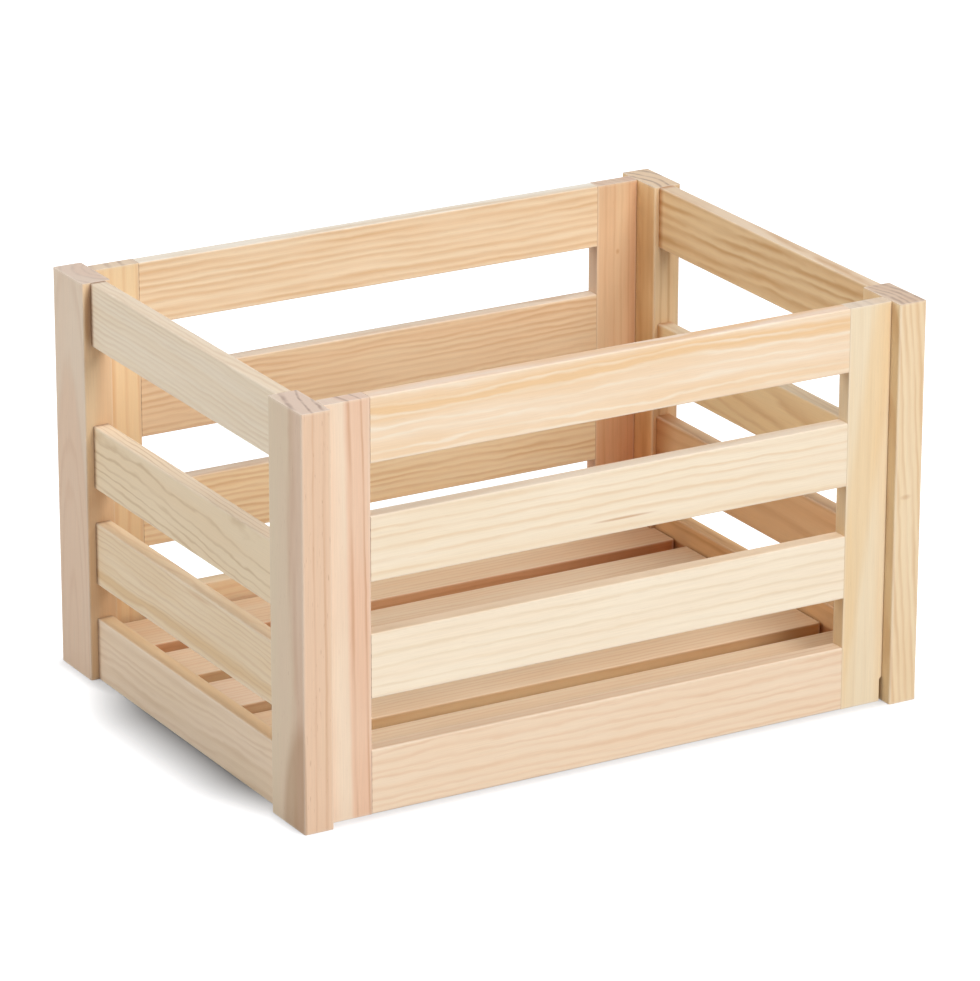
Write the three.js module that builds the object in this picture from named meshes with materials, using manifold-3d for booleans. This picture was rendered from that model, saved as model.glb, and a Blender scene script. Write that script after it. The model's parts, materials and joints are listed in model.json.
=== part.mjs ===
// A slatted storage crate of bare pine: two end frames, two long-side frames and a slatted floor.
// Millimetres, +Z up. X runs along the long side from left to right, Y from front to rear.
// The origin is the middle of the footprint, on the surface that the crate stands on.

import * as THREE from 'three';
import { mergeVertices } from 'three/addons/utils/BufferGeometryUtils.js';
import Module from 'manifold-3d';

// Overall size
const LENGTH = 400;
const WIDTH = 300;
const HEIGHT = 242;

// Corner posts, with the thickness along X
const POST_THICK = 18;
const POST_WIDE = 38;

// Slats and stiles, all planed to one thickness
const SLAT_THICK = 10;
const SLAT_TALL = 38;
const STILE_WIDE = 28;

// How far the long-side frames and the end slats lie behind the posts' outer faces
const FRAME_SET_BACK = 8;
const END_SET_BACK = 5;

// The opening under the top end slat that a hand goes through
const HAND_HOLD = 48;

// Floor boards, and the battens that carry them
const FLOOR_BOARDS = 5;
const FLOOR_THICK = 10;
const FLOOR_GAP = 14;
const FLOOR_SIDE_GAP = 4;
const FLOOR_END_GAP = 1.5;
const FLOOR_POST_GAP = 1;
const BATTEN_WIDE = 14;
const BATTEN_TALL = 14;
const BATTEN_LIFT = 1;
const BATTEN_END_GAP = 1;

// Stub tenons on the slat ends. The shoulder is the step above and below a tenon.
const TENON_LONG = 9;
const TENON_SHOULDER = 5;
const END_TENON_THICK = 6;
const FRAME_TENON_THICK = 4;

// Dowels that hold the stiles to the posts
const DOWEL_DIAMETER = 6;
const DOWEL_LONG = 24;
const DOWEL_CHAMFER = 0.8;

// The relief at the outer edge of the front right stile, at its foot
const RELIEF_WIDE = 2;
const RELIEF_TALL = 15;

// Clearance round a tenon or dowel, and the glue line between two faces that butt
const FIT = 0.3;
const GLUE_LINE = 0.1;

// Radius of the long edges, and the smaller easing of the stile edges that the slats butt on
// and of the upright boards' ends
const EDGE_RADIUS = 1;
const JOINT_EASE = 0.4;
const END_EASE = 0.3;
const EDGE_STEPS = 4;
const END_STEPS = 2;
const ROUND_SIDES = 20;

// How far a cutting shape reaches past the face that it opens
const OVERCUT = 2;

// Levels and spans that follow from the sizes above
const ROWS = ['bottom', 'lower', 'upper', 'top'];
const TOP_ROW = ROWS.length - 1;
const FRAME_PITCH = (HEIGHT - SLAT_TALL) / TOP_ROW;
const END_PITCH = (HEIGHT - SLAT_TALL - HAND_HOLD - SLAT_TALL) / (TOP_ROW - 1);
const END_OFFSET = END_SET_BACK + (SLAT_THICK - POST_THICK) / 2;
const FRAME_MID = FRAME_SET_BACK + SLAT_THICK / 2;
const STILE_SPAN = LENGTH - 2 * (POST_THICK + GLUE_LINE);
const FRAME_SLAT_LONG = STILE_SPAN - 2 * (STILE_WIDE + GLUE_LINE);
const END_SLAT_LONG = WIDTH - 2 * (POST_WIDE + GLUE_LINE);
const TENON_TALL = SLAT_TALL - 2 * TENON_SHOULDER;
const FLOOR_SPAN = WIDTH - 2 * (FRAME_SET_BACK + SLAT_THICK + FLOOR_SIDE_GAP);
const FLOOR_WIDE = (FLOOR_SPAN - FLOOR_GAP * (FLOOR_BOARDS - 1)) / FLOOR_BOARDS;
const FLOOR_PITCH = FLOOR_WIDE + FLOOR_GAP;
const FLOOR_LONG = LENGTH - 2 * (END_SET_BACK + SLAT_THICK + FLOOR_END_GAP);
const FLOOR_UNDER = BATTEN_LIFT + BATTEN_TALL + GLUE_LINE;

// Pine tones, from the palest board to the ruddiest
const TONE = {
  cream: '#f5e2c8',
  pale: '#f0d6b6',
  straw: '#e9cba6',
  peach: '#e6c4a6',
  beige: '#d8c7b0',
  tan: '#d1a67b',
  birch: '#dcc29c',
};

const wasm = await Module();
wasm.setup();

// A closed geometry as a solid that can be joined and cut
function toSolid(geometry) {
  const bare = geometry.clone();
  bare.deleteAttribute('normal');
  bare.deleteAttribute('uv');
  const merged = mergeVertices(bare);
  return new wasm.Manifold(new wasm.Mesh({
    numProp: 3,
    vertProperties: new Float32Array(merged.attributes.position.array),
    triVerts: new Uint32Array(merged.index.array),
  }));
}

// A solid as a geometry with flat faces
function toGeometry(solid) {
  const { vertProperties, triVerts } = solid.getMesh();
  const indexed = new THREE.BufferGeometry();
  indexed.setAttribute('position', new THREE.BufferAttribute(vertProperties, 3));
  indexed.setIndex(new THREE.BufferAttribute(triVerts, 1));
  const geometry = indexed.toNonIndexed();
  geometry.computeVertexNormals();
  return geometry;
}

// A geometry with every cutter taken out of it
function cut(geometry, cutters) {
  const cutSolid = cutters.reduce((solid, cutter) => solid.subtract(toSolid(cutter)), toSolid(geometry));
  return toGeometry(cutSolid);
}

// A rectangle round the origin, with one radius at its left corners and one at its right corners
function roundedRectangle(wide, high, leftRadius, rightRadius) {
  const right = wide / 2;
  const top = high / 2;
  const outline = new THREE.Shape();
  outline.absarc(right - rightRadius, top - rightRadius, rightRadius, 0, Math.PI / 2);
  outline.absarc(leftRadius - right, top - leftRadius, leftRadius, Math.PI / 2, Math.PI);
  outline.absarc(leftRadius - right, leftRadius - top, leftRadius, Math.PI, 1.5 * Math.PI);
  outline.absarc(right - rightRadius, rightRadius - top, rightRadius, 1.5 * Math.PI, 2 * Math.PI);
  outline.closePath();
  return outline;
}

// A board that stands on the origin, with rounded long edges and eased ends
function standingBoard(sizeX, sizeY, tall, rightRadius) {
  const geometry = new THREE.ExtrudeGeometry(roundedRectangle(sizeX, sizeY, EDGE_RADIUS, rightRadius), {
    depth: tall - 2 * END_EASE,
    curveSegments: EDGE_STEPS,
    bevelThickness: END_EASE,
    bevelSize: END_EASE,
    bevelOffset: -END_EASE,
    bevelSegments: END_STEPS,
  });
  return geometry.translate(0, 0, END_EASE);
}

// A board along X that lies round the origin, sawn square at both ends
function lyingBoard(long, sizeY, sizeZ) {
  const geometry = new THREE.ExtrudeGeometry(roundedRectangle(sizeZ, sizeY, EDGE_RADIUS, EDGE_RADIUS), {
    depth: long,
    curveSegments: EDGE_STEPS,
    bevelEnabled: false,
  });
  return geometry.translate(0, 0, -long / 2).rotateY(Math.PI / 2);
}

// A slat along X with a stub tenon at each end
function tenonedSlat(long, tenonThick) {
  const slat = lyingBoard(long, SLAT_THICK, SLAT_TALL);
  const tenons = new THREE.BoxGeometry(long + 2 * TENON_LONG, tenonThick, TENON_TALL);
  return toGeometry(toSolid(slat).add(toSolid(tenons)));
}

// The cutter for a mortise that opens towards +X from the origin
function mortiseCutter(tenonThick) {
  const deep = GLUE_LINE + TENON_LONG + FIT;
  const cutter = new THREE.BoxGeometry(deep + OVERCUT, tenonThick + 2 * FIT, TENON_TALL + 2 * FIT);
  return cutter.translate((OVERCUT - deep) / 2, 0, 0);
}

// The cutter for a dowel hole that opens towards +X from the origin
function dowelCutter() {
  const deep = DOWEL_LONG / 2 + FIT;
  const radius = DOWEL_DIAMETER / 2 + FIT;
  const cutter = new THREE.CylinderGeometry(radius, radius, deep + OVERCUT, ROUND_SIDES);
  return cutter.rotateZ(Math.PI / 2).translate((OVERCUT - deep) / 2, 0, 0);
}

// Height of the middle of a slat in the long-side frames and in the end frames
function frameRowHeight(row) {
  return SLAT_TALL / 2 + row * FRAME_PITCH;
}

function endRowHeight(row) {
  return row === TOP_ROW ? HEIGHT - SLAT_TALL / 2 : SLAT_TALL / 2 + row * END_PITCH;
}

// Heights of the dowels, each half way between two rows of the long-side frames
function dowelHeights() {
  return ROWS.slice(1).map((name, row) => (frameRowHeight(row) + frameRowHeight(row + 1)) / 2);
}

// A corner post on the origin. Its mortises open towards +Y and its dowel holes towards inward * X.
function postGeometry(inward) {
  const mortises = ROWS.map((name, row) => {
    const mortise = mortiseCutter(END_TENON_THICK).rotateZ(Math.PI / 2);
    return mortise.translate(inward * END_OFFSET, POST_WIDE / 2, endRowHeight(row));
  });
  const dowelHoles = dowelHeights().map((height) => {
    const hole = inward > 0 ? dowelCutter() : dowelCutter().rotateZ(Math.PI);
    return hole.translate((inward * POST_THICK) / 2, FRAME_MID - POST_WIDE / 2, height);
  });
  return cut(standingBoard(POST_THICK, POST_WIDE, HEIGHT, EDGE_RADIUS), [...mortises, ...dowelHoles]);
}

// A stile on the origin. Its mortises open towards +X and its dowel holes towards -X.
function stileGeometry() {
  const mortises = ROWS.map((name, row) => (
    mortiseCutter(FRAME_TENON_THICK).translate(STILE_WIDE / 2, 0, frameRowHeight(row))
  ));
  const dowelHoles = dowelHeights().map((height) => (
    dowelCutter().rotateZ(Math.PI).translate(-STILE_WIDE / 2, 0, height)
  ));
  return cut(standingBoard(STILE_WIDE, SLAT_THICK, HEIGHT, JOINT_EASE), [...mortises, ...dowelHoles]);
}

// The cutter for the relief at a stile's foot, with a rounded top, at the stile's dowelled edge
function reliefCutter() {
  const edge = -STILE_WIDE / 2;
  const outline = new THREE.Shape();
  outline.moveTo(edge - OVERCUT, -OVERCUT);
  outline.lineTo(edge + RELIEF_WIDE, -OVERCUT);
  outline.lineTo(edge + RELIEF_WIDE, RELIEF_TALL - RELIEF_WIDE);
  outline.absarc(edge, RELIEF_TALL - RELIEF_WIDE, RELIEF_WIDE, 0, Math.PI / 2);
  outline.lineTo(edge - OVERCUT, RELIEF_TALL);
  outline.closePath();
  const through = SLAT_THICK + 2 * OVERCUT;
  const cutter = new THREE.ExtrudeGeometry(outline, { depth: through, bevelEnabled: false });
  return cutter.translate(0, 0, -through / 2).rotateX(Math.PI / 2);
}

// A dowel along X round the origin, with chamfered ends
function dowelGeometry() {
  const radius = DOWEL_DIAMETER / 2;
  const half = DOWEL_LONG / 2;
  const profile = [
    new THREE.Vector2(0, -half),
    new THREE.Vector2(radius - DOWEL_CHAMFER, -half),
    new THREE.Vector2(radius, DOWEL_CHAMFER - half),
    new THREE.Vector2(radius, half - DOWEL_CHAMFER),
    new THREE.Vector2(radius - DOWEL_CHAMFER, half),
    new THREE.Vector2(0, half),
  ];
  return new THREE.LatheGeometry(profile, ROUND_SIDES).rotateZ(Math.PI / 2);
}

// A floor board round the origin. An outer board is notched where the posts stand, on its outward * Y side.
function floorBoardGeometry(outward) {
  const board = lyingBoard(FLOOR_LONG, FLOOR_WIDE, FLOOR_THICK);
  if (outward === 0) {
    return board;
  }
  const boardMid = outward * (FLOOR_SPAN - FLOOR_WIDE) / 2;
  const notchFromX = LENGTH / 2 - POST_THICK - FLOOR_POST_GAP;
  const notchFromY = outward * (WIDTH / 2 - POST_WIDE - FLOOR_POST_GAP) - boardMid;
  const notchSize = new THREE.Vector3(POST_THICK, POST_WIDE, FLOOR_THICK + OVERCUT);
  const notches = [-1, 1].map((end) => {
    const notch = new THREE.BoxGeometry(notchSize.x, notchSize.y, notchSize.z);
    const x = end * (notchFromX + notchSize.x / 2);
    return notch.translate(x, notchFromY + (outward * notchSize.y) / 2, 0);
  });
  return cut(board, notches);
}

// A named piece of bare pine
function piece(name, geometry, tone) {
  const material = new THREE.MeshStandardMaterial({ color: tone, roughness: 0.72, metalness: 0 });
  const mesh = new THREE.Mesh(geometry, material);
  mesh.name = name;
  return mesh;
}

// An end frame round the origin: two posts with four slats between them
function endFrame(end, side, slatTone, postTones) {
  const frame = new THREE.Group();
  const postMid = (WIDTH - POST_WIDE) / 2;
  const front = piece(`post_front_${end}`, postGeometry(-side), postTones.front);
  front.position.y = -postMid;
  const rear = piece(`post_rear_${end}`, postGeometry(side), postTones.rear);
  rear.position.y = postMid;
  rear.rotation.z = Math.PI;
  frame.add(front, rear);
  ROWS.forEach((row, index) => {
    const slat = piece(`${end}_end_slat_${row}`, tenonedSlat(END_SLAT_LONG, END_TENON_THICK), slatTone);
    slat.rotation.z = Math.PI / 2;
    slat.position.set(-side * END_OFFSET, 0, endRowHeight(index));
    frame.add(slat);
  });
  return frame;
}

// A long-side frame round the origin: two stiles with four slats between them, and the stiles' dowels
function longFrame(name, slatTones, stileTones) {
  const frame = new THREE.Group();
  const stileMid = (STILE_SPAN - STILE_WIDE) / 2;
  const dowelMid = LENGTH / 2 - POST_THICK - GLUE_LINE / 2;
  ['left', 'right'].forEach((hand) => {
    const side = hand === 'left' ? -1 : 1;
    const relieved = name === 'front' && hand === 'right';
    const outline = relieved ? cut(stileGeometry(), [reliefCutter()]) : stileGeometry();
    const stile = piece(`${name}_stile_${hand}`, outline, stileTones[hand]);
    stile.position.x = side * stileMid;
    stile.rotation.z = side < 0 ? 0 : Math.PI;
    frame.add(stile);
    dowelHeights().forEach((height, index) => {
      const dowel = piece(`corner_dowel_${name}_${hand}_${index + 1}`, dowelGeometry(), TONE.birch);
      dowel.position.set(side * dowelMid, 0, height);
      frame.add(dowel);
    });
  });
  ROWS.forEach((row, index) => {
    const geometry = tenonedSlat(FRAME_SLAT_LONG, FRAME_TENON_THICK);
    const slat = piece(`${name}_slat_${row}`, geometry, slatTones[index]);
    slat.position.z = frameRowHeight(index);
    frame.add(slat);
  });
  return frame;
}

// The floor: boards along X, counted from the front, on a batten at each end
function floor() {
  const group = new THREE.Group();
  for (let index = 0; index < FLOOR_BOARDS; index += 1) {
    const outermost = FLOOR_BOARDS - 1;
    const outward = index === 0 ? -1 : Number(index === outermost);
    const board = piece(`floor_board_${index + 1}`, floorBoardGeometry(outward), TONE.pale);
    board.position.y = (index - outermost / 2) * FLOOR_PITCH;
    board.position.z = FLOOR_UNDER + FLOOR_THICK / 2;
    group.add(board);
  }
  const battenLong = WIDTH - 2 * (POST_WIDE + BATTEN_END_GAP);
  const battenMid = LENGTH / 2 - END_SET_BACK - SLAT_THICK - GLUE_LINE - BATTEN_WIDE / 2;
  ['left', 'right'].forEach((hand) => {
    const batten = piece(`floor_batten_${hand}`, lyingBoard(battenLong, BATTEN_WIDE, BATTEN_TALL), TONE.straw);
    batten.rotation.z = Math.PI / 2;
    batten.position.x = hand === 'left' ? -battenMid : battenMid;
    batten.position.z = BATTEN_LIFT + BATTEN_TALL / 2;
    group.add(batten);
  });
  return group;
}

const crate = new THREE.Group();
crate.name = 'crate';

const leftEnd = endFrame('left', -1, TONE.beige, { front: TONE.peach, rear: TONE.beige });
leftEnd.position.x = (POST_THICK - LENGTH) / 2;

const rightEnd = endFrame('right', 1, TONE.straw, { front: TONE.pale, rear: TONE.tan });
rightEnd.position.x = (LENGTH - POST_THICK) / 2;

const frontSlatTones = [TONE.pale, TONE.cream, TONE.cream, TONE.pale];
const frontFrame = longFrame('front', frontSlatTones, { left: TONE.peach, right: TONE.pale });
frontFrame.position.y = FRAME_MID - WIDTH / 2;

const rearSlatTones = [TONE.straw, TONE.straw, TONE.straw, TONE.pale];
const rearFrame = longFrame('rear', rearSlatTones, { left: TONE.pale, right: TONE.peach });
rearFrame.position.y = WIDTH / 2 - FRAME_MID;

crate.add(leftEnd, rightEnd, frontFrame, rearFrame, floor());

export default crate;
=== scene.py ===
"""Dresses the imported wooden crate: bare pine boards in soft studio light on a white floor."""

import json
import math
from dataclasses import dataclass, replace

import bpy
from mathutils import Matrix, Vector


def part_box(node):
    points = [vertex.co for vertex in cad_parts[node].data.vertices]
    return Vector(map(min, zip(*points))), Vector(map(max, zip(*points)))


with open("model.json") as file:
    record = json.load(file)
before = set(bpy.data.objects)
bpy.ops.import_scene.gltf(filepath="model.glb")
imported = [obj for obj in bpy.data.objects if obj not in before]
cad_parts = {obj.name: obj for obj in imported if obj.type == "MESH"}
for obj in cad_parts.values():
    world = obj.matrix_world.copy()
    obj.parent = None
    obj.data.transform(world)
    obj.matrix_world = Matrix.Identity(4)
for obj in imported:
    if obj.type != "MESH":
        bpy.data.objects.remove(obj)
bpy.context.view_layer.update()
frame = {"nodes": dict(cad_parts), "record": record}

MILLIMETRES_PER_METRE = 1000.0


def srgb(code):
    """A colour written as six hex digits, as the linear colour that a shader takes."""
    channels = [int(code[i : i + 2], 16) / 255.0 for i in (0, 2, 4)]
    linear = [c / 12.92 if c <= 0.04045 else ((c + 0.055) / 1.055) ** 2.4 for c in channels]
    return (*linear, 1.0)


# How a board lies: its grain runs along, its wide face spans along and across, and out leaves that face.
X, Y, Z = Vector((1, 0, 0)), Vector((0, 1, 0)), Vector((0, 0, 1))
LIE = {
    "post": (Z, Y, -X),
    "stile": (Z, X, -Y),
    "frame_slat": (X, Z, -Y),
    "end_slat": (Y, Z, -X),
    "floor_board": (X, Y, Z),
    "batten": (Y, X, Z),
    "dowel": (X, Y, Z),
}


# A place that no board reaches, for what a board doesn't have
FAR_AWAY = 9000.0


@dataclass
class Figure:
    """How one board was sawn from its log. Lengths are in millimetres from the board's middle.

    Pith is the log's centre across and out of the board, and slope how it drifts along the board.
    Rings of this thickness, more or less uneven, lie round it, each with a soft line of late wood.
    Shift moves them towards the pith, as a share of a ring.
    Band is a layer of deep wood in the pale, as its middle radius and half its thickness, and calm
    says how far the lines fade out beside it. End line strengthens the lines on the end grain.
    Side tints the two faces across the board, partly as the wood's own tone there and partly as painted
    light: a greyer sheen painted on the tops of slats, and shade painted on the floor boards' gap faces.
    Mark is a pin knot or a streak of resin, and on two boards a patch of painted shade.
    Stain and shade tints the board along its length, from nothing at one place to its full depth at
    another, and its side setting keeps it to the faces across the board. Mostly it is painted shade:
    in the corners beside the rear posts and in the floor's gaps towards the right end. It also darkens
    the post and stile at the right rear towards their foot, and the top of the front right post.
    """

    pale: str
    deep: str
    late: str
    pith: tuple = (-120.0, -60.0)
    slope: tuple = (0.0, 0.0)
    ring: float = 6.0
    shift: float = 0.0
    uneven: float = 1.2
    wave: float = 1.0
    line: float = 0.4
    width: float = 0.6
    end_line: float = 1.3
    band: tuple = (FAR_AWAY, 1.0)
    band_soft: float = 2.0
    band_slope: tuple = (0.0, 0.0)
    calm: float = 0.0
    resin: float = 0.1
    side: tuple = (1.0, 1.0, 1.0)
    mark: tuple = (FAR_AWAY, 0.0, 0.0)
    mark_size: tuple = (3.0, 2.0, 0.0)
    mark_depth: float = 0.4
    mark_soft: float = 0.9
    mark_tone: str = "b8742c"
    stain_and_shade: tuple = (FAR_AWAY, FAR_AWAY + 1.0, 0.0)
    stain_and_shade_tint: tuple = (1.0, 0.6, 0.42)
    stain_and_shade_side: float = 0.0


class Nodes:
    """Adds nodes to one node tree and wires them up."""

    def __init__(self, tree):
        self.tree = tree

    def add(self, kind, **settings):
        node = self.tree.nodes.new(kind)
        for name, value in settings.items():
            setattr(node, name, value)
        return node

    def feed(self, socket, value):
        if isinstance(value, bpy.types.NodeSocket):
            self.tree.links.new(value, socket)
        else:
            socket.default_value = value

    def math(self, operation, *values, clamp=False):
        node = self.add("ShaderNodeMath", operation=operation, use_clamp=clamp)
        for socket, value in zip(node.inputs, values):
            self.feed(socket, value)
        return node.outputs[0]

    def vector(self, operation, *values):
        node = self.add("ShaderNodeVectorMath", operation=operation)
        for socket, value in zip(node.inputs, values):
            self.feed(socket, value)
        return node.outputs["Value" if operation in ("DOT_PRODUCT", "LENGTH") else "Vector"]

    def split(self, vector):
        node = self.add("ShaderNodeSeparateXYZ")
        self.feed(node.inputs[0], vector)
        return node.outputs

    def join(self, x, y, z):
        node = self.add("ShaderNodeCombineXYZ")
        for socket, value in zip(node.inputs, (x, y, z)):
            self.feed(socket, value)
        return node.outputs[0]

    def noise(self, place, detail=1.0, flat=False):
        node = self.add("ShaderNodeTexNoise", noise_dimensions="1D" if flat else "3D")
        self.feed(node.inputs["W" if flat else "Vector"], place)
        node.inputs["Scale"].default_value = 1.0
        node.inputs["Detail"].default_value = detail
        return node.outputs

    def step(self, value, start, end):
        """Goes smoothly from 0 at start to 1 at end."""
        node = self.add("ShaderNodeMapRange", interpolation_type="SMOOTHSTEP")
        self.feed(node.inputs["Value"], value)
        self.feed(node.inputs["From Min"], start)
        self.feed(node.inputs["From Max"], end)
        return node.outputs[0]

    def blend(self, factor, first, second):
        node = self.add("ShaderNodeMix", data_type="RGBA")
        self.feed(node.inputs[0], factor)
        self.feed(node.inputs[6], first)
        self.feed(node.inputs[7], second)
        return node.outputs[2]


GROUP_INPUTS = {
    "Place": "NodeSocketVector",
    "Normal": "NodeSocketVector",
    "Half": "NodeSocketVector",
    "Seed": "NodeSocketFloat",
    "Pith": "NodeSocketVector",
    "Slope": "NodeSocketVector",
    "Ring": "NodeSocketFloat",
    "Shift": "NodeSocketFloat",
    "Uneven": "NodeSocketFloat",
    "Wave": "NodeSocketFloat",
    "Line": "NodeSocketFloat",
    "Width": "NodeSocketFloat",
    "End Line": "NodeSocketFloat",
    "Band Middle": "NodeSocketFloat",
    "Band Half": "NodeSocketFloat",
    "Band Soft": "NodeSocketFloat",
    "Band Slope": "NodeSocketVector",
    "Calm": "NodeSocketFloat",
    "Resin": "NodeSocketFloat",
    "Side": "NodeSocketVector",
    "Mark": "NodeSocketVector",
    "Mark Scale": "NodeSocketVector",
    "Mark Depth": "NodeSocketFloat",
    "Mark Soft": "NodeSocketFloat",
    "Mark Tone": "NodeSocketColor",
    "Stain And Shade Start": "NodeSocketFloat",
    "Stain And Shade End": "NodeSocketFloat",
    "Stain And Shade Depth": "NodeSocketFloat",
    "Stain And Shade Tint": "NodeSocketVector",
    "Stain And Shade Side": "NodeSocketFloat",
    "Pale": "NodeSocketColor",
    "Deep": "NodeSocketColor",
    "Late": "NodeSocketColor",
}
GROUP_OUTPUTS = {
    "Color": "NodeSocketColor",
    "Roughness": "NodeSocketFloat",
    "Height": "NodeSocketFloat",
}
RESIN_BROWN = srgb("9c6440")
END_GREY = srgb("d5c2b8")
END_LATE = srgb("937668")
# Pale for the sanded edges, both as wear and as a painted highlight
SANDED_PALE_AND_HIGHLIGHT = srgb("f3e4d2")
WHITE = (1.0, 1.0, 1.0, 1.0)

# How far apart the noise of two boards lies, in millimetres for each step of their seeds
SEED_STRIDE = (731.0, 277.0, 419.0)

# The grain's own spots, as their length along the grain and their width across it, in millimetres
SLOW_BEND = (170, 60)
WAVE = (48, 11)
SHIVER = (13, 5)
LINE_FADE = (70, 7)
PATCH = (90, 16)
FIBRE = (24, 0.6)
DUCT = (7, 0.6)

# The middle of the noise's scale, and where on it each of these goes from nothing to full
NOISE_MIDDLE = 0.5
LINE_FADE_RANGE = (0.25, 0.7)
CLOUD_RANGE = (0.35, 0.66)
DUCT_RANGE = (0.68, 0.8)

# How squarely a face has to look along or across the board to count as end grain or as an edge
END_RANGE = (0.7, 0.95)
ACROSS_RANGE = (0.6, 0.9)

# How far the bends, waves and shivers move the grain, in millimetres
SLOW_BEND_REACH = 4.5
WAVE_REACH = 2.2
SHIVER_REACH = 1.0

# How fast the rings' widths and tones change, for each ring and each step of the seed
WIDTH_PACE = (0.37, 13.7)
TONE_PACE = (0.45, 5.1)

# A late line peaks at this share of its width before the ring ends, and fades to this least strength
LINE_PEAK = 0.4
LINE_LEAST = 0.3

# How strongly the band and the clouds draw the wood from pale to deep
BAND_SHARE = 0.75
CLOUD_SHARE = 0.45

END_GREY_SHARE = 0.5
FIBRE_SHADE = 0.14
MARK_RIM = 1.1

# The sanded arris, paler from wear and from a painted highlight along the edge: where it starts and where
# it is full, in millimetres from the edge, and how pale it is
ARRIS_REACH = (1.9, 0.3)
ARRIS_SHARE = 0.24

ROUGH_LEAST = 0.52
ROUGH_FIBRE = 0.18
ROUGH_SMOOTHED = 0.08
FIBRE_HEIGHT = 0.6
LINE_HEIGHT = 0.4


class Pine(Nodes):
    """Pine as a solid: growth rings round a pith, so that the faces of one board agree at every edge."""

    def __init__(self, tree):
        super().__init__(tree)
        self.given = self.add("NodeGroupInput").outputs
        self.place = self.given["Place"]
        self.along = self.split(self.place)[0]
        seed = self.given["Seed"]
        apart = self.vector("MULTIPLY", self.join(seed, seed, seed), SEED_STRIDE)
        self.seeded = self.vector("ADD", self.place, apart)

    def scaled(self, value, factor):
        return self.math("MULTIPLY", value, factor)

    def grain_noise(self, size, detail=1.0):
        """Noise in spots of this length along the grain and this width across it."""
        along, across = size
        place = self.vector("MULTIPLY", self.seeded, (1 / along, 1 / across, 1 / across))
        return self.noise(place, detail)

    def ring_noise(self, rings, pace):
        """Noise that changes from ring to ring and from board to board."""
        ring_pace, seed_pace = pace
        place = self.math("ADD", self.scaled(rings, ring_pace), self.scaled(self.given["Seed"], seed_pace))
        return self.noise(place, flat=True)[0]

    def drift(self, size, reach):
        """Moves the grain across the board, by up to about half of reach."""
        drift = self.vector("SUBTRACT", self.grain_noise(size)["Color"], (NOISE_MIDDLE,) * 3)
        return self.vector("MULTIPLY", drift, (0.0, reach, reach))

    def sway(self):
        """Slow bends, waves and small shivers of the grain."""
        sway = self.vector("ADD", self.drift(SLOW_BEND, SLOW_BEND_REACH), self.drift(WAVE, WAVE_REACH))
        sway = self.vector("ADD", sway, self.drift(SHIVER, SHIVER_REACH))
        return self.vector("MULTIPLY", sway, self.join(0.0, self.given["Wave"], self.given["Wave"]))

    def radius(self, slope, sway):
        """How far from the pith a point lies, where the pith drifts along the board by slope."""
        lean = self.vector("MULTIPLY", slope, self.join(0.0, self.along, self.along))
        offset = self.vector("SUBTRACT", self.vector("ADD", self.place, lean), self.given["Pith"])
        offset = self.vector("MULTIPLY", offset, (0.0, 1.0, 1.0))
        return self.vector("LENGTH", self.vector("ADD", offset, sway))

    def late_wood(self, rings):
        """Rings of uneven width, each with a late line that builds up and dies away softly."""
        uneven = self.math("MULTIPLY", self.ring_noise(rings, WIDTH_PACE), self.given["Uneven"])
        phase = self.math("FRACT", self.math("ADD", rings, uneven))
        width = self.given["Width"]
        starts = self.math("SUBTRACT", 1.0, width)
        peaks = self.math("SUBTRACT", 1.0, self.scaled(width, LINE_PEAK))
        late = self.math("SUBTRACT", self.step(phase, starts, peaks), self.step(phase, peaks, 1.0))
        fade = self.step(self.grain_noise(LINE_FADE)[0], *LINE_FADE_RANGE)
        strength = self.math("ADD", self.scaled(fade, 1.0 - LINE_LEAST), LINE_LEAST)
        return self.math("MULTIPLY", late, strength)

    def band(self, sway):
        """1 in the layer of deep wood, 0 outside it."""
        half, soft = self.given["Band Half"], self.given["Band Soft"]
        core = self.radius(self.given["Band Slope"], sway)
        off_middle = self.math("ABSOLUTE", self.math("SUBTRACT", core, self.given["Band Middle"]))
        return self.step(off_middle, self.math("ADD", half, soft), self.math("SUBTRACT", half, soft))

    def tone(self, rings, band):
        """From pale wood to deep: the band, stripes that follow the rings, and cloudy patches."""
        stripe = self.ring_noise(rings, TONE_PACE)
        patch = self.grain_noise(PATCH)[0]
        cloud = self.math("ADD", self.scaled(stripe, 0.5), self.scaled(patch, 0.5))
        cloud = self.step(cloud, *CLOUD_RANGE)
        return self.math("ADD", self.scaled(band, BAND_SHARE), self.scaled(cloud, CLOUD_SHARE), clamp=True)

    def kept_to(self, value, share):
        """1 where value is 1, and smaller by share where it is 0."""
        return self.math("MULTIPLY_ADD", share, self.math("SUBTRACT", value, 1.0), 1.0)

    def line(self, late, band, end):
        """The late lines as they show: bolder on end grain, which drinks in dirt, calmer off the band."""
        bolder = self.math("MULTIPLY_ADD", end, self.math("SUBTRACT", self.given["End Line"], 1.0), 1.0)
        calmer = self.kept_to(band, self.given["Calm"])
        strength = self.math("MULTIPLY", self.math("MULTIPLY", self.given["Line"], bolder), calmer)
        return self.math("MULTIPLY", late, strength, clamp=True)

    def wood(self, tone, line, end):
        """Pale and deep wood with its late lines and short resin ducts, greyer on the end grain."""
        color = self.blend(tone, self.given["Pale"], self.given["Deep"])
        color = self.blend(self.scaled(end, END_GREY_SHARE), color, END_GREY)
        color = self.blend(line, color, self.blend(end, self.given["Late"], END_LATE))
        duct = self.step(self.grain_noise(DUCT)[0], *DUCT_RANGE)
        return self.blend(self.math("MULTIPLY", duct, self.given["Resin"]), color, RESIN_BROWN)

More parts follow.
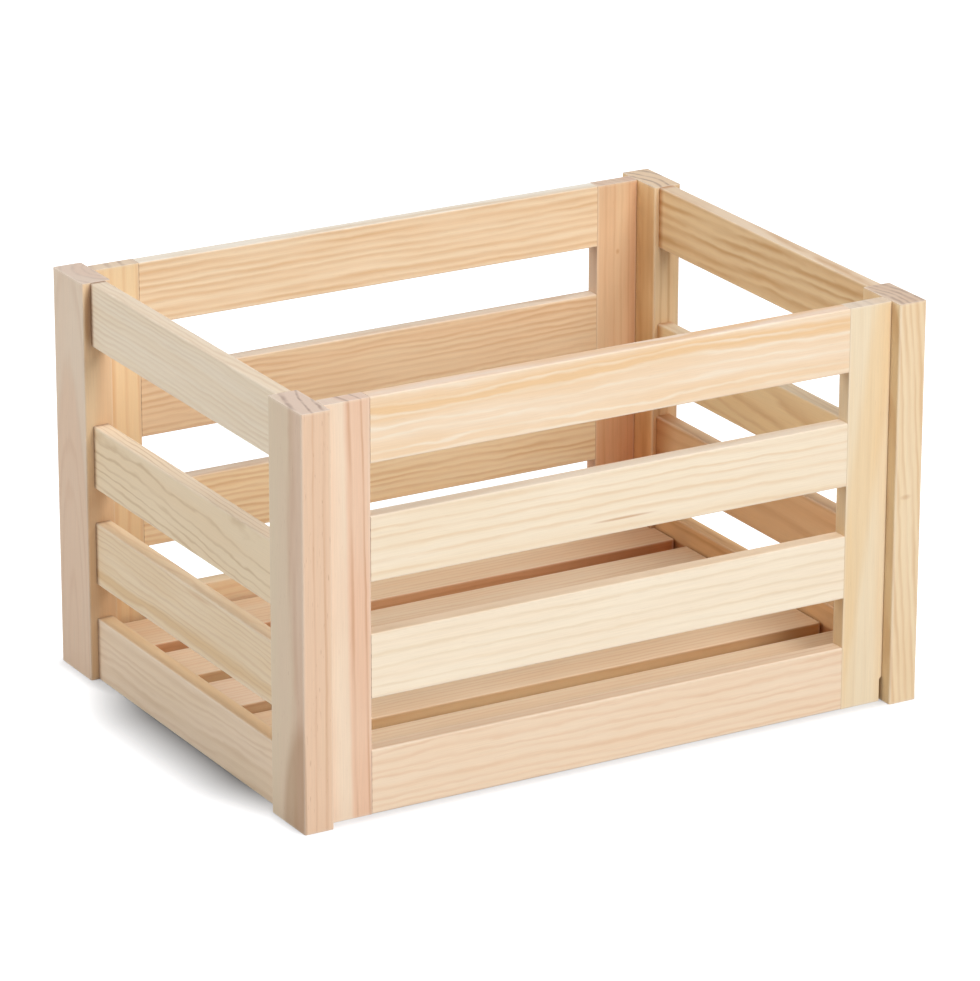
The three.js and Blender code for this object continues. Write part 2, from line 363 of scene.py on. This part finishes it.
    def marked(self, color):
        """Lays the knot, the streak or, on two boards, a patch of painted shade over the wood."""
        offset = self.vector("SUBTRACT", self.place, self.given["Mark"])
        away = self.vector("LENGTH", self.vector("MULTIPLY", offset, self.given["Mark Scale"]))
        mark = self.step(away, MARK_RIM, self.math("SUBTRACT", MARK_RIM, self.given["Mark Soft"]))
        depth = self.math("MULTIPLY", mark, self.given["Mark Depth"])
        return self.blend(depth, color, self.given["Mark Tone"])

    def shaded(self, color, fibre):
        """Darkens and lightens the wood from fibre to fibre."""
        shade = self.math("ADD", self.scaled(self.math("SUBTRACT", fibre, NOISE_MIDDLE), FIBRE_SHADE), 1.0)
        return self.vector("MULTIPLY", color, self.join(shade, shade, shade))

    def tinted(self, color, across):
        """Tints the faces across the board, partly with painted light, and darkens the board along its
        length with its stain and painted shade.
        """
        color = self.vector("MULTIPLY", color, self.blend(across, WHITE, self.given["Side"]))
        stain_and_shade = self.step(self.along, self.given["Stain And Shade Start"], self.given["Stain And Shade End"])
        stain_and_shade = self.math("MULTIPLY", stain_and_shade, self.given["Stain And Shade Depth"])
        stain_and_shade = self.math("MULTIPLY", stain_and_shade, self.kept_to(across, self.given["Stain And Shade Side"]))
        return self.vector("MULTIPLY", color, self.blend(stain_and_shade, WHITE, self.given["Stain And Shade Tint"]))

    def arris(self):
        """1 on the sanded edges, where two faces of the board meet: the mask for their wear and painted
        highlight.
        """
        gap = self.split(self.vector("SUBTRACT", self.given["Half"], self.vector("ABSOLUTE", self.place)))
        low = self.math("MINIMUM", gap[1], gap[2])
        high = self.math("MAXIMUM", gap[1], gap[2])
        return self.step(self.math("MAXIMUM", low, self.math("MINIMUM", high, gap[0])), *ARRIS_REACH)


def pine_group():
    """The node group that every board's material uses."""
    tree = bpy.data.node_groups.new("pine", "ShaderNodeTree")
    for name, kind in GROUP_INPUTS.items():
        tree.interface.new_socket(name, in_out="INPUT", socket_type=kind)
    for name, kind in GROUP_OUTPUTS.items():
        tree.interface.new_socket(name, in_out="OUTPUT", socket_type=kind)
    n = Pine(tree)
    facing = n.split(n.vector("ABSOLUTE", n.given["Normal"]))
    end = n.step(facing[0], *END_RANGE)
    across = n.step(facing[1], *ACROSS_RANGE)
    fibre = n.grain_noise(FIBRE, detail=2.0)[0]
    sway = n.sway()
    radius = n.radius(n.given["Slope"], sway)
    rings = n.math("ADD", n.math("DIVIDE", radius, n.given["Ring"]), n.given["Shift"])
    late = n.late_wood(rings)
    band = n.band(sway)
    line = n.line(late, band, end)
    arris = n.arris()

    color = n.marked(n.wood(n.tone(rings, band), line, end))
    color = n.tinted(n.shaded(color, fibre), across)
    # Paler along the edges: sanded wear together with a painted highlight
    color = n.blend(n.scaled(arris, ARRIS_SHARE), color, SANDED_PALE_AND_HIGHLIGHT)
    rough = n.math("ADD", n.scaled(fibre, ROUGH_FIBRE), ROUGH_LEAST)
    rough = n.math("SUBTRACT", rough, n.scaled(n.math("ADD", line, arris), ROUGH_SMOOTHED))
    height = n.math("ADD", n.scaled(fibre, FIBRE_HEIGHT), n.scaled(late, LINE_HEIGHT))
    result = n.add("NodeGroupOutput").inputs
    n.feed(result["Color"], color)
    n.feed(result["Roughness"], rough)
    n.feed(result["Height"], height)
    return tree


PINE = pine_group()
GLOSS = 0.3
BUMP_STRENGTH = 0.2
BUMP_DEPTH = 0.0003


def pine_material(node_name, lie, figure, seed):
    """The pine group, set into one board by its own axes and figure."""
    low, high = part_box(node_name)
    middle = (low + high) / 2
    half = (high - low) / 2
    axes = LIE[lie]
    material = bpy.data.materials.new("pine_" + node_name)
    material.use_nodes = True
    tree = material.node_tree
    n = Nodes(tree)
    shader = tree.nodes["Principled BSDF"]
    shader.inputs["Specular IOR Level"].default_value = GLOSS
    source = n.add("ShaderNodeTexCoord").outputs
    offset = n.vector("SUBTRACT", source["Object"], middle)
    wood = n.add("ShaderNodeGroup", node_tree=PINE)
    values = {
        "Place": n.join(*[n.vector("DOT_PRODUCT", offset, axis * MILLIMETRES_PER_METRE) for axis in axes]),
        "Normal": n.join(*[n.vector("DOT_PRODUCT", source["Normal"], axis) for axis in axes]),
        "Half": [abs(half.dot(axis)) * MILLIMETRES_PER_METRE for axis in axes],
        "Seed": seed,
        "Pith": (0.0, *figure.pith),
        "Slope": (0.0, *figure.slope),
        "Ring": figure.ring,
        "Shift": figure.shift,
        "Uneven": figure.uneven,
        "Wave": figure.wave,
        "Line": figure.line,
        "Width": figure.width,
        "End Line": figure.end_line,
        "Band Middle": figure.band[0],
        "Band Half": figure.band[1],
        "Band Soft": figure.band_soft,
        "Band Slope": (0.0, *figure.band_slope),
        "Calm": figure.calm,
        "Resin": figure.resin,
        "Side": figure.side,
        "Mark": figure.mark,
        "Mark Scale": [1 / size if size else 0.0 for size in figure.mark_size],
        "Mark Depth": figure.mark_depth,
        "Mark Soft": figure.mark_soft,
        "Mark Tone": srgb(figure.mark_tone),
        "Stain And Shade Start": figure.stain_and_shade[0],
        "Stain And Shade End": figure.stain_and_shade[1],
        "Stain And Shade Depth": figure.stain_and_shade[2],
        "Stain And Shade Tint": figure.stain_and_shade_tint,
        "Stain And Shade Side": figure.stain_and_shade_side,
        "Pale": srgb(figure.pale),
        "Deep": srgb(figure.deep),
        "Late": srgb(figure.late),
    }
    for name, value in values.items():
        n.feed(wood.inputs[name], value)
    bump = n.add("ShaderNodeBump")
    bump.inputs["Strength"].default_value = BUMP_STRENGTH
    bump.inputs["Distance"].default_value = BUMP_DEPTH
    n.feed(bump.inputs["Height"], wood.outputs["Height"])
    n.feed(shader.inputs["Base Color"], wood.outputs["Color"])
    n.feed(shader.inputs["Roughness"], wood.outputs["Roughness"])
    n.feed(shader.inputs["Normal"], bump.outputs["Normal"])
    return material


# Pale, deep and late wood of the ruddiest boards
RUSSET = ("ecc699", "e2b07e", "bd8150")

# Painted shade: how the shaded seam beside a rear post, and the shaded corners and floor gaps at the right
# end, darken the wood
PAINTED_SEAM_SHADE = (0.34, 0.18, 0.1)
PAINTED_CORNER_SHADE = (0.62, 0.36, 0.2)

# The floor boards' side tint and stain and shade are painted shade in the gaps between them, deeper and
# redder towards the right end
FLOOR_PINE = Figure(
    "f3daba", "edc9a2", "cf9866", pith=(-100, -50), ring=3.4, wave=1.3, line=0.3,
    side=(1.1, 0.96, 0.76), stain_and_shade=(0, 185, 0.7), stain_and_shade_tint=PAINTED_CORNER_SHADE, stain_and_shade_side=1.0,
)
FIGURES = {
    "front_slat_top": Figure(
        "f4dabb", "efc99b", "faeeda", pith=(-90, -50), ring=5.0, wave=1.9, line=0.62, width=0.6,
        band=(114.1, 3.5), band_soft=2.8, band_slope=(-0.013, 0), side=(0.93, 0.91, 0.97),
    ),
    "front_slat_upper": Figure(
        "f7e6cc", "f2dcbc", "e3bf92", pith=(-140, -60), slope=(0.008, 0), ring=6.0, uneven=0.7, wave=1.3,
        line=0.48, width=0.55, side=(1.06, 1.08, 1.16), mark=(6, -10.6, 0), mark_size=(24, 1.0, 0),
        mark_depth=0.55,
    ),
    "front_slat_lower": Figure(
        "f9e9d0", "f6e1c5", "e2c8a2", pith=(-130, -50), ring=6.0, uneven=0.7, wave=1.5, line=0.44,
        width=0.5, side=(1.03, 0.96, 0.91),
    ),
    "front_slat_bottom": Figure(
        "f4dcc0", "efcfae", "deb088", pith=(35, -40), ring=3.2, wave=1.2, line=0.42, width=0.7
    ),
    "front_stile_left": Figure(
        "f2dcc2", "ebc3a5", "c08860", pith=(-76.2, 20), slope=(0.019, 0), ring=8.2, shift=-0.44, wave=0.6,
        line=0.5, width=0.36, band=(177.5, 100), band_soft=1.5, band_slope=(0.019, 0), calm=1.0,
    ),
    "front_stile_right": Figure(
        "efdcbc", "edd0a4", "dcbb8f", pith=(-100, 10), ring=9, wave=0.9, line=0.2,
        band=(94.8, 8.7), band_soft=4, band_slope=(-0.145, 0), side=(0.91, 0.89, 0.86),
    ),
    "post_front_left": Figure(
        "e6d1b3", "e6cab0", "c49670", pith=(-36, -135), ring=8.3, shift=-0.43, wave=0.8, line=0.42,
        width=0.4, end_line=1.7, band=(97, 50), band_soft=1, resin=0.35, side=(1.03, 0.96, 0.9),
        mark=(-121, -19, 9), mark_size=(66, 25, 1.5), mark_depth=0.5, mark_soft=0.3, mark_tone="a87e56",
    ),
    "post_front_right": Figure(
        "f5dcb2", "ecc795", "cf9c64", pith=(-10, 70), slope=(0, -0.075), ring=4.3, wave=1.3, line=0.42,
        width=0.8, end_line=1.3, side=(0.97, 0.98, 1.04), mark=(5, -19, 1.7), mark_size=(2.0, 0, 4.5),
        mark_depth=0.3, stain_and_shade=(120.3, 120.9, 1), stain_and_shade_tint=(0.88, 0.84, 0.85),
    ),
    "post_rear_left": Figure(
        "e9d3ba", "e6c8ac", "b98358", pith=(2, -6), slope=(0, 0.14), ring=6, wave=1.2, line=0.15,
        band=(12, 12.2), band_soft=1.5, band_slope=(0, 0.14), side=(1.12, 1.05, 0.87),
        # Its mark is painted shade: the shaded corner on the post's front face beside the left end's top
        # slat
        mark=(101, -19, 5.3), mark_size=(24, 6, 3.8), mark_depth=0.62, mark_soft=0.7, mark_tone="84502a",
    ),
    "post_rear_right": Figure(
        "f8d8a6", "f1c88e", "c08448", pith=(-10, 40), ring=6, line=0.45, end_line=1.7,
        side=(0.84, 0.83, 0.87), stain_and_shade=(20, -60, 0.5),
    ),
    # At the left end, stain and shade paints the shaded seam beside the rear post
    "left_end_slat_top": Figure(
        "f6e5cb", "f1dbbb", "d4b590", pith=(-90, -80), slope=(-0.02, 0), ring=2.4, uneven=0.7, wave=1.3,
        line=0.38, width=0.8, side=(0.94, 0.93, 0.95), stain_and_shade=(108, 111.5, 0.85), stain_and_shade_tint=PAINTED_SEAM_SHADE,
    ),
    "left_end_slat_upper": Figure(
        "f2dcba", "edd1aa", "b8925e", pith=(20, -40), slope=(-0.06, 0), ring=2.9, wave=1.4, line=0.5,
        width=0.45, side=(1.08, 1.1, 1.2), stain_and_shade=(108, 112, 0.7), stain_and_shade_tint=PAINTED_SEAM_SHADE,
    ),
    "left_end_slat_lower": Figure(
        "f3dcba", "e6c598", "cba378", pith=(-90, -60), slope=(-0.02, 0), ring=2.9, wave=1.5, line=0.36,
        band=(101.8, 2.3), band_soft=1.5, side=(1.07, 1.08, 1.1), stain_and_shade=(108, 112, 0.7), stain_and_shade_tint=PAINTED_SEAM_SHADE,
        mark=(-17, 15.6, 0), mark_size=(20, 1.5, 0), mark_depth=0.3,
    ),
    "left_end_slat_bottom": Figure(
        "f4dcc0", "edd4b2", "d0ad86", pith=(-80, -50), slope=(0.03, 0), ring=4.8, wave=2.0, line=0.38,
        width=0.85, side=(0.96, 0.89, 0.74), stain_and_shade=(108, 112, 0.5), stain_and_shade_tint=PAINTED_SEAM_SHADE,
    ),
    # On the rear slats the side tint is painted light on their tops: a greyer, cooler sheen on the upper
    # two and shade on the lower one
    "rear_slat_top": Figure(
        "f8e2c2", "f1d0a8", "d6a468", pith=(-110, -50), ring=4.3, uneven=0.4, wave=1.1, line=0.5,
        width=1.0, side=(1.0, 1.16, 1.45),
    ),
    "rear_slat_upper": Figure(
        "eed3af", "e8c39c", "ca9663", pith=(-120, -50), ring=3.6, uneven=0.5, wave=1.5, line=0.44,
        width=0.9, side=(1.07, 1.18, 1.43),
    ),
    "rear_slat_lower": Figure(
        "fde7c2", "f7d6a8", "d49c58", pith=(-120, -50), ring=3.6, uneven=0.5, wave=1.5, line=0.46,
        width=0.85, side=(0.87, 0.88, 1.03),
    ),
    "rear_slat_bottom": Figure("fee6c2", "f8dab0", "e4b584", pith=(-120, -50), ring=5),
    "rear_stile_left": Figure(
        "f6dcb2", "efcb9c", "d49a60", pith=(60, 10), ring=9, wave=0.8, line=0.42, width=0.5
    ),
    "rear_stile_right": Figure(
        "eccda6", "dfb088", "c08458", pith=(-100, 40), ring=6, wave=0.8, line=0.22, width=0.5,
        band=(209, 100), band_soft=8, band_slope=(-0.03, 0), side=(0.86, 0.86, 0.95), stain_and_shade=(30, -60, 0.4),
        mark=(78, 0.5, 0), mark_size=(2.2, 1.6, 0), mark_depth=0.35,
    ),
    # At the right end, stain and shade paints the shaded corner beside the rear post, wider on the lower
    # slat
    "right_end_slat_top": Figure(
        "f0d5a9", "e9c390", "c08945", pith=(-60, -40), slope=(0.03, 0), ring=5.4, wave=1.7, line=0.62,
        width=0.95, side=(0.96, 1.02, 1.29), stain_and_shade=(106, 111.5, 0.8), stain_and_shade_tint=PAINTED_CORNER_SHADE,
    ),
    "right_end_slat_upper": Figure(
        "f6dcae", "f1cd98", "c8955c", pith=(20, -30), slope=(-0.03, 0.03), ring=5, wave=1.4, line=0.4,
        side=(1.0, 1.05, 1.25), stain_and_shade=(104, 112, 0.8), stain_and_shade_tint=PAINTED_CORNER_SHADE,
    ),
    "right_end_slat_lower": Figure(
        *RUSSET, pith=(-40, -50), ring=6, line=0.35, side=(1.12, 1.19, 1.31), stain_and_shade=(85, 112, 0.8),
        stain_and_shade_tint=PAINTED_CORNER_SHADE,
    ),
    "right_end_slat_bottom": Figure(
        "edc290", "e2ab72", "bb7e46", pith=(-40, -50), ring=5, line=0.4, side=(1.17, 1.22, 1.22),
        # Its mark is painted shade on the inner face, below the floor boards
        mark=(0, -8, 5), mark_size=(0, 12.8, 5), mark_depth=0.75, mark_soft=0.2, mark_tone="a8683c",
    ),
    "floor_board_1": replace(FLOOR_PINE, pale="e4cdaf", deep="debb97", late="c79162"),
    "floor_board_2": replace(FLOOR_PINE, side=(0.9, 0.78, 0.6), stain_and_shade=(20, 185, 0.35)),
    "floor_board_3": replace(FLOOR_PINE, pale="f3ddc4", deep="edcead"),
    "floor_board_4": replace(FLOOR_PINE, pale="f2dcbf", deep="eccba8"),
    "floor_board_5": replace(FLOOR_PINE, side=(1.03, 0.75, 0.57), stain_and_shade_side=0.7),
}

# The battens under the floor, and the dowels inside the corners
HIDDEN_FIGURES = {
    "batten": Figure(*RUSSET, pith=(-60, -40), ring=5),
    "dowel": Figure("f2d9bb", "ead0ac", "cfab82", pith=(-20, -20), ring=3),
}


def dress_boards():
    """Gives every piece its own pine, with the grain along it."""
    slots = {part["node"]: part["material_slot"] for part in frame["record"]["subparts"]}
    for seed, name in enumerate(sorted(frame["nodes"]), start=1):
        lie = slots[name]
        figure = FIGURES.get(name) or HIDDEN_FIGURES[lie]
        board = frame["nodes"][name]
        board.data.materials.clear()
        board.data.materials.append(pine_material(name, lie, figure, float(seed)))


def light_path_to_eye(n):
    """1 for what the eye sees straight, in a gloss or through glass, 0 for light that falls on things."""
    path = n.add("ShaderNodeLightPath").outputs
    seen = n.math("MAXIMUM", path["Is Camera Ray"], path["Is Glossy Ray"])
    return n.math("MAXIMUM", seen, path["Is Transmission Ray"])


# The studio floor, in metres. Its shadow is painted: a painted shade along the crate's left end tapers
# off towards the front and the rear, and a painted contact shadow runs round the crate's foot.
FLOOR_HALF = 6.0
FLOOR_GREY = (0.55, 0.57, 0.6, 1.0)
FLOOR_SHADED = (0.385, 0.4, 0.425, 1.0)
FOOTPRINT = (0.195, 0.142, 0.0)
SHADE_REACH = 0.047
SHADE_FRONT = (-0.195, -0.055)
SHADE_REAR = (0.17, 0.04)
CONTACT_REACH = 0.02
CONTACT_GLOW = 0.3


def make_floor():
    """A wide white floor with a shadow painted along the crate's left end and a thin painted contact
    shadow round its foot.
    """
    mesh = bpy.data.meshes.new("studio_floor")
    corners = [(FLOOR_HALF * x, FLOOR_HALF * y, 0) for x, y in ((-1, -1), (1, -1), (1, 1), (-1, 1))]
    mesh.from_pydata(corners, [], [(0, 1, 2, 3)])
    floor = bpy.data.objects.new("studio_floor", mesh)
    bpy.context.scene.collection.objects.link(floor)
    material = bpy.data.materials.new("white_floor")
    material.use_nodes = True
    tree = material.node_tree
    tree.nodes.clear()
    n = Nodes(tree)
    matt = n.add("ShaderNodeBsdfDiffuse")
    glow = n.add("ShaderNodeEmission")
    place = n.add("ShaderNodeTexCoord").outputs["Object"]
    x, y, _ = n.split(place)
    off_left_foot = n.math("ABSOLUTE", n.math("ADD", x, FOOTPRINT[0]))
    taper = n.math("MULTIPLY", n.step(y, *SHADE_FRONT), n.step(y, *SHADE_REAR))
    shade = n.math("SUBTRACT", taper, n.math("DIVIDE", off_left_foot, SHADE_REACH), clamp=True)
    # Painted shadow: the floor's own colour darkens in the shade
    n.feed(matt.inputs["Color"], n.blend(shade, FLOOR_GREY, FLOOR_SHADED))
    beyond = n.vector("SUBTRACT", n.vector("ABSOLUTE", place), FOOTPRINT)
    away = n.vector("LENGTH", n.vector("MAXIMUM", beyond, (0.0, 0.0, 0.0)))
    clear = n.math("MULTIPLY", n.step(away, 0.0, CONTACT_REACH), 1.0 - CONTACT_GLOW)
    level = n.math("MINIMUM", n.math("SUBTRACT", 1.0, shade), n.math("ADD", clear, CONTACT_GLOW))
    n.feed(glow.inputs["Strength"], n.math("MULTIPLY", light_path_to_eye(n), level))
    both = n.add("ShaderNodeAddShader")
    n.feed(both.inputs[0], matt.outputs[0])
    n.feed(both.inputs[1], glow.outputs[0])
    output = n.add("ShaderNodeOutputMaterial")
    n.feed(output.inputs["Surface"], both.outputs[0])
    mesh.materials.append(material)


WORLD_FILL = (0.95, 0.97, 1.0, 1.0)
WORLD_STRENGTH = 0.25


def make_world():
    """Even cool fill light from a studio that looks white."""
    world = bpy.data.worlds.new("studio")
    bpy.context.scene.world = world
    world.use_nodes = True
    tree = world.node_tree
    tree.nodes.clear()
    n = Nodes(tree)
    fill = n.add("ShaderNodeBackground")
    fill.inputs["Color"].default_value = WORLD_FILL
    fill.inputs["Strength"].default_value = WORLD_STRENGTH
    white = n.add("ShaderNodeBackground")
    white.inputs["Color"].default_value = WHITE
    white.inputs["Strength"].default_value = 1.0
    choice = n.add("ShaderNodeMixShader")
    n.feed(choice.inputs[0], light_path_to_eye(n))
    n.feed(choice.inputs[1], fill.outputs[0])
    n.feed(choice.inputs[2], white.outputs[0])
    output = n.add("ShaderNodeOutputWorld")
    n.feed(output.inputs["Surface"], choice.outputs[0])


# What the lamps and the camera point at
AIM = Vector((0.0017, -0.0021, 0.1173))


def direction(azimuth, elevation):
    """From the crate towards something at this azimuth, 0 in front and positive to the right."""
    a, e = math.radians(azimuth), math.radians(elevation)
    return Vector((math.sin(a) * math.cos(e), -math.cos(a) * math.cos(e), math.sin(e)))


@dataclass
class Lamp:
    """A round softbox that points at the crate, in degrees, metres and watts."""

    azimuth: float
    elevation: float
    distance: float
    size: float
    power: float
    color: tuple


WARM_WHITE = (1.0, 0.99, 0.98)
COOL_WHITE = (0.94, 0.97, 1.0)
SOFT_WHITE = (0.97, 0.97, 0.97)
LAMPS = {
    "front_softbox": Lamp(azimuth=6, elevation=28, distance=3.0, size=1.5, power=58, color=WARM_WHITE),
    "top_softbox": Lamp(azimuth=70, elevation=78, distance=2.0, size=0.8, power=11, color=COOL_WHITE),
    "left_fill": Lamp(azimuth=-115, elevation=25, distance=2.5, size=1.8, power=26.5, color=SOFT_WHITE),
}


def make_lamps():
    for name, lamp in LAMPS.items():
        data = bpy.data.lights.new(name, "AREA")
        data.shape = "DISK"
        data.size = lamp.size
        data.energy = lamp.power
        data.color = lamp.color
        softbox = bpy.data.objects.new(name, data)
        towards = direction(lamp.azimuth, lamp.elevation)
        softbox.location = AIM + towards * lamp.distance
        softbox.rotation_euler = towards.to_track_quat("Z", "Y").to_euler()
        bpy.context.scene.collection.objects.link(softbox)


# The photograph's viewpoint, in degrees, metres and millimetres of lens
CAMERA_AZIMUTH = -30.164
CAMERA_ELEVATION = 19.825
CAMERA_DISTANCE = 3.213
CAMERA_ROLL = 0.133
LENS = 204.97
SENSOR_WIDTH = 36.0
FARTHEST_SEEN = 50.0


def make_camera():
    data = bpy.data.cameras.new("photo_camera")
    data.sensor_width = SENSOR_WIDTH
    data.lens = LENS
    data.clip_end = FARTHEST_SEEN
    camera = bpy.data.objects.new("photo_camera", data)
    towards = direction(CAMERA_AZIMUTH, CAMERA_ELEVATION)
    turn = towards.to_track_quat("Z", "Y").to_matrix().to_4x4()
    roll = Matrix.Rotation(math.radians(CAMERA_ROLL), 4, "Z")
    camera.matrix_world = Matrix.Translation(AIM + towards * CAMERA_DISTANCE) @ turn @ roll
    bpy.context.scene.collection.objects.link(camera)
    bpy.context.scene.camera = camera


dress_boards()
make_floor()
make_world()
make_lamps()
make_camera()
bpy.context.scene.view_settings.view_transform = "Standard"
